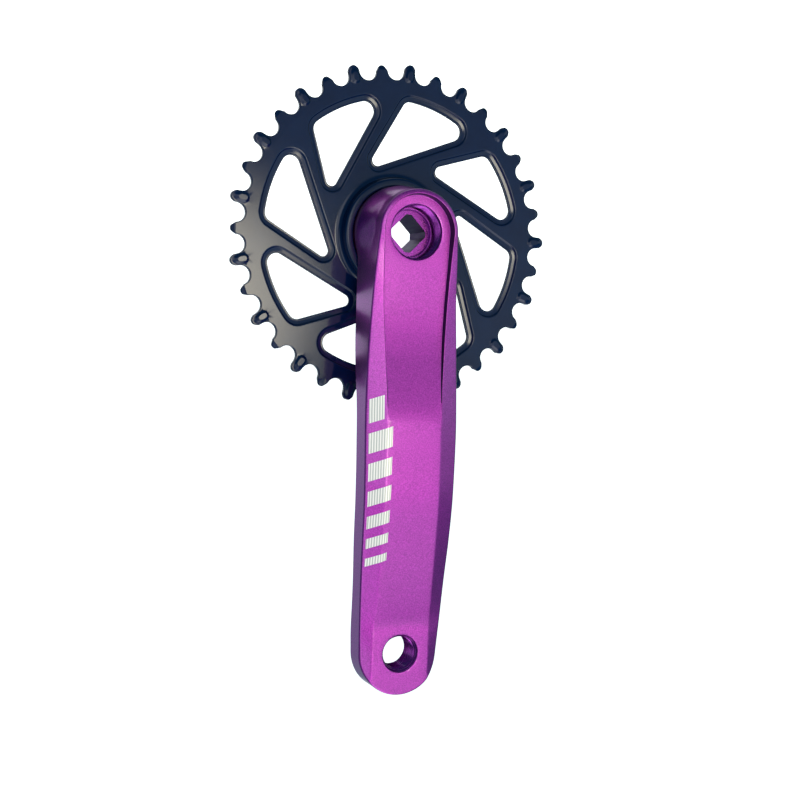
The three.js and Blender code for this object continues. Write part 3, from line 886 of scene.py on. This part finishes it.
class Nodes:
    """A material's node tree, with short ways to add and join nodes."""

    def __init__(self, name):
        self.material = bpy.data.materials.new(name)
        self.material.use_nodes = True
        self.tree = self.material.node_tree
        self.shader = self.tree.nodes["Principled BSDF"]
        self.place = self.tree.nodes.new("ShaderNodeTexCoord").outputs["Object"]

    def set(self, **values):
        """Constant values on the shader's own sockets."""
        for name, value in values.items():
            self.shader.inputs[name.replace("_", " ")].default_value = value

    def node(self, kind, inputs=None, **settings):
        made = self.tree.nodes.new("ShaderNode" + kind)
        for name, value in settings.items():
            setattr(made, name, value)
        for name, value in (inputs or {}).items():
            if isinstance(value, bpy.types.NodeSocket):
                self.tree.links.new(value, made.inputs[name])
            else:
                made.inputs[name].default_value = value
        return made

    def noise(self, per_mm, detail=2.0, roughness=0.5, stretch=None):
        place = self.place
        if stretch:
            place = self.node("Mapping", {"Vector": place, "Scale": stretch}).outputs["Vector"]
        inputs = {"Vector": place, "Scale": per_mm / MM, "Detail": detail, "Roughness": roughness}
        return self.node("TexNoise", inputs).outputs["Fac"]

    def between(self, factor, low, high):
        """A number that goes from low to high with a noise or wave factor."""
        ends = {"From Min": FACTOR_LOW, "From Max": FACTOR_HIGH, "To Min": low, "To Max": high}
        return self.node("MapRange", {"Value": factor, **ends}).outputs["Result"]

    def blend(self, factor, first, second):
        mix = self.node("Mix", {"Factor": factor}, data_type="RGBA")
        mix.inputs[MIX_FIRST].default_value = (*first, 1)
        mix.inputs[MIX_SECOND].default_value = (*second, 1)
        return mix.outputs[MIX_RESULT]

    def bump(self, height, distance_mm, strength=1.0, after=None):
        inputs = {"Height": height, "Distance": distance_mm * MM, "Strength": strength}
        if after:
            inputs["Normal"] = after
        return self.node("Bump", inputs).outputs["Normal"]

    def feed(self, name, output):
        self.tree.links.new(output, self.shader.inputs[name])


def purple_anodised():
    """Dyed anodising over bead-blasted aluminium: satin, with a fine sparkling grain."""
    m = Nodes("purple_anodised")
    blast = m.noise(2.0, 2.0, 0.6)
    fine = m.noise(4.5, 2.0, 0.6)
    cloud = m.noise(0.05, 3.0, 0.5)
    m.feed("Base Color", m.blend(m.between(blast, 0, 1), (0.296, 0.021, 0.291), (0.562, 0.044, 0.529)))
    m.feed("Roughness", m.between(cloud, 0.38, 0.43))
    m.feed("Normal", m.bump(blast, 0.08, 0.6, after=m.bump(fine, 0.03, 0.5)))
    m.set(Metallic=1.0, Coat_Weight=1.0, Coat_Roughness=0.2, Coat_IOR=1.5)
    return m.material


def purple_cut_and_shade():
    """The bores and the bolt seat, cut after blasting and dyed, with the cutter's fine rings. Their darker
    colour is partly painted shade inside the holes.
    """
    m = Nodes("purple_cut_and_shade")
    rings = m.noise(1.6, 3.0, 0.6, stretch=(0.15, 1, 0.15))
    sparkle = m.noise(3.2, 2.0, 0.7)
    m.feed("Base Color", m.blend(m.between(sparkle, 0, 1), (0.13, 0.013, 0.17), (0.36, 0.036, 0.42)))
    m.feed("Roughness", m.between(rings, 0.2, 0.34))
    m.feed("Normal", m.bump(rings, 0.02, 0.5, after=m.bump(sparkle, 0.015, 0.4)))
    m.set(Metallic=1.0, Coat_Weight=0.4, Coat_Roughness=0.25, Coat_IOR=1.5)
    return m.material


def machined_dark_and_shade():
    """The broached socket and the spigot, cut after blasting, in a dark violet. On the pocket's wall the same
    dark colour is painted shade.
    """
    m = Nodes("machined_dark_and_shade")
    lines = m.noise(1.4, 3.0, 0.6, stretch=(1, 0.12, 1))
    m.feed("Base Color", m.blend(m.between(lines, 0, 1), (0.030, 0.010, 0.055), (0.075, 0.025, 0.12)))
    m.feed("Roughness", m.between(lines, 0.42, 0.6))
    m.feed("Normal", m.bump(lines, 0.05, 0.5))
    m.set(Metallic=0.9)
    return m.material


def etched_silver():
    """Bare aluminium where the dye was etched away in fine lines."""
    m = Nodes("etched_silver")
    wave = m.node("TexWave", {"Vector": m.place, "Scale": 0.32 / MM, "Distortion": 0.4}, bands_direction="X")
    hatch = wave.outputs["Fac"]
    grain = m.noise(2.5)
    m.feed("Base Color", m.blend(m.between(hatch, 0, 1), (0.50, 0.48, 0.47), (0.86, 0.82, 0.79)))
    m.feed("Roughness", m.between(grain, 0.40, 0.46))
    m.feed("Normal", m.bump(hatch, 0.03, 0.5, after=m.bump(grain, 0.04, 0.4)))
    m.set(Metallic=1.0)
    return m.material


def black_anodised():
    """Glossy black anodising, a little blue, over a finely machined plate."""
    m = Nodes("black_anodised")
    cloud = m.noise(0.08, 3.0, 0.55)
    grain = m.noise(2.2, 3.0, 0.6)
    m.feed("Base Color", m.blend(m.between(cloud, 0, 1), (0.0004, 0.0062, 0.038), (0.0008, 0.0098, 0.050)))
    m.feed("Roughness", m.between(grain, 0.06, 0.12))
    m.feed("Normal", m.bump(grain, 0.012, 0.35))
    m.set(Metallic=0.0, Specular_IOR_Level=0.38)
    return m.material


def black_steel():
    """Satin black oxide on the screws."""
    m = Nodes("black_steel")
    grain = m.noise(1.6, 3.0, 0.6)
    m.feed("Base Color", m.blend(m.between(grain, 0, 1), (0.02, 0.02, 0.022), (0.05, 0.05, 0.055)))
    m.feed("Roughness", m.between(grain, 0.32, 0.5))
    m.feed("Normal", m.bump(grain, 0.03, 0.4))
    m.set(Metallic=0.85)
    return m.material


def pale_paint():
    """The plain floor, which glows a little so that it stays pale from every side."""
    m = Nodes("pale_floor")
    m.feed("Base Color", m.blend(m.noise(0.002), (0.93, 0.93, 0.93), (0.95, 0.95, 0.95)))
    m.set(Roughness=0.9, Emission_Color=(1, 1, 1, 1), Emission_Strength=0.8)
    return m.material


# ---- stage, light and camera ----------------------------------------------------------------

FLOOR_DROP = 130                 # from the arm's lowest point to the floor


def stage():
    """A pale floor below the object that curves up into a backdrop far behind it."""
    floor_z = (arm_low[2] - FLOOR_DROP) * MM
    front, back, curve, height, half = -4.0, 3.2, 1.2, 4.0, 5.0     # metres
    angles = np.linspace(-math.pi / 2, 0, 25)
    profile = [(front, floor_z)]
    profile += [(back + curve * math.cos(a), floor_z + curve + curve * math.sin(a)) for a in angles]
    profile.append((back + curve, floor_z + height))
    mesh = bpy.data.meshes.new("floor")
    points = [(side * half, y, z) for y, z in profile for side in (-1, 1)]
    faces = [(2 * i, 2 * i + 1, 2 * i + 3, 2 * i + 2) for i in range(len(profile) - 1)]
    mesh.from_pydata(points, [], faces)
    mesh.polygons.foreach_set("use_smooth", [True] * len(faces))
    mesh.materials.append(pale_paint())
    floor = bpy.data.objects.new("floor", mesh)
    bpy.context.scene.collection.objects.link(floor)
    floor.visible_diffuse = False
    floor.visible_glossy = False
    floor.visible_shadow = False


def direction(azimuth, elevation):
    """A direction from the object: azimuth 0 is towards -Y and 90 towards +X, in degrees."""
    a, e = math.radians(azimuth), math.radians(elevation)
    return (math.sin(a) * math.cos(e), -math.cos(a) * math.cos(e), math.sin(e))


# Soft studio light by direction: azimuth, elevation, degrees to its edge and soft border, colour, strength.
WHITE = (1.0, 1.0, 1.0)
WARM = (1.08, 1.0, 0.8)
COOL = (0.9, 1.0, 1.0)
VIOLET = (1.0, 0.84, 1.12)
GLOWS = [
    (14, 1.2, 4.5, 2.3, WARM, 11.4),     # the lamp that the ring's left side mirrors
    (-9, 9, 12, 12, WHITE, 1.8),
    (14, 12, 12, 12, COOL, 0.24),
    (35, 12, 12, 12, COOL, 0.18),
    (60, 12, 12, 12, COOL, 0.75),
    (-45, -12, 12, 12, WHITE, 1.3),
    (35, -12, 12, 12, COOL, 0.7),
    (8.5, -8, 4, 2.5, WARM, 6),          # what the rounded crease down the arm's left side mirrors
    (14, -24, 10, 10, WHITE, 0.8),
    (-25, -32, 12, 12, WHITE, 0.85),
    (0, -65, 20, 14, WHITE, 2.9),
    (-165, 0, 26, 22, VIOLET, 0.25),
    (150, -8, 14, 13, WHITE, 1.1),
    (180, 40, 30, 25, WHITE, 0.8),
]
AMBIENT = (0.058, 0.162, 0.178)


def surroundings():
    """The glows as the world's light. The camera itself sees plain white."""
    world = bpy.data.worlds.new("studio")
    bpy.context.scene.world = world
    world.use_nodes = True
    tree = world.node_tree
    tree.nodes.clear()
    link = tree.links.new

    def node(kind, **settings):
        made = tree.nodes.new("ShaderNode" + kind)
        for name, value in settings.items():
            setattr(made, name, value)
        return made

    place = node("TexCoord").outputs["Generated"]
    total = node("CombineColor")
    for channel, value in zip(total.inputs, AMBIENT):
        channel.default_value = value
    total = total.outputs[0]
    for azimuth, elevation, width, border, colour, strength in GLOWS:
        facing = node("VectorMath", operation="DOT_PRODUCT")
        link(place, facing.inputs[0])
        facing.inputs[1].default_value = direction(azimuth, elevation)
        ramp = node("MapRange", interpolation_type="SMOOTHSTEP")
        link(facing.outputs["Value"], ramp.inputs["Value"])
        ramp.inputs["From Min"].default_value = math.cos(math.radians(min(width + border, 180)))
        ramp.inputs["From Max"].default_value = math.cos(math.radians(max(width - border, 0)))
        add = node("Mix", data_type="RGBA", blend_type="ADD")
        link(ramp.outputs["Result"], add.inputs["Factor"])
        link(total, add.inputs[MIX_FIRST])
        add.inputs[MIX_SECOND].default_value = (*[strength * channel for channel in colour], 1)
        total = add.outputs[MIX_RESULT]
    lit, seen = node("Background"), node("Background")
    link(total, lit.inputs["Color"])
    seen.inputs["Color"].default_value = (1, 1, 1, 1)
    mix = node("MixShader")
    link(node("LightPath").outputs["Is Camera Ray"], mix.inputs[0])
    link(lit.outputs[0], mix.inputs[1])
    link(seen.outputs[0], mix.inputs[2])
    link(mix.outputs[0], node("OutputWorld").inputs["Surface"])


# The photograph's view: from the left of the object's front, nearly level and a little rolled.
VIEW_AZIMUTH = 23.577            # degrees
VIEW_ELEVATION = -2.459
VIEW_ROLL = 2.317
VIEW_FROM = (-216.5, -512, -44.5)
LENS = 59.66                     # on a sensor 36 mm wide


def camera():
    azimuth, elevation, roll = (math.radians(x) for x in (VIEW_AZIMUTH, VIEW_ELEVATION, VIEW_ROLL))
    along_floor = math.cos(elevation)
    forward = Vector((math.sin(azimuth) * along_floor, math.cos(azimuth) * along_floor, math.sin(elevation)))
    level_right = Vector((math.cos(azimuth), -math.sin(azimuth), 0))
    level_up = level_right.cross(forward)
    right = level_right * math.cos(roll) + level_up * math.sin(roll)
    up = right.cross(forward)
    data = bpy.data.cameras.new("camera")
    data.lens, data.sensor_width = LENS, 36.0
    data.clip_start, data.clip_end = 0.01, 50
    eye = bpy.data.objects.new("camera", data)
    turn = Matrix((right, up, -forward)).transposed().to_4x4()
    eye.matrix_world = Matrix.Translation(Vector(VIEW_FROM) * MM) @ turn
    bpy.context.scene.collection.objects.link(eye)
    bpy.context.scene.camera = eye


# ---- the scene ------------------------------------------------------------------------------

crank_arm(purple_anodised(), machined_dark_and_shade(), etched_silver(), purple_cut_and_shade())
chainring(black_anodised())
steel = black_steel()
for screw_number in range(len(SCREWS)):
    chainring_screw(screw_number, steel)

stage()
surroundings()
camera()
bpy.context.scene.view_settings.view_transform = "Standard"
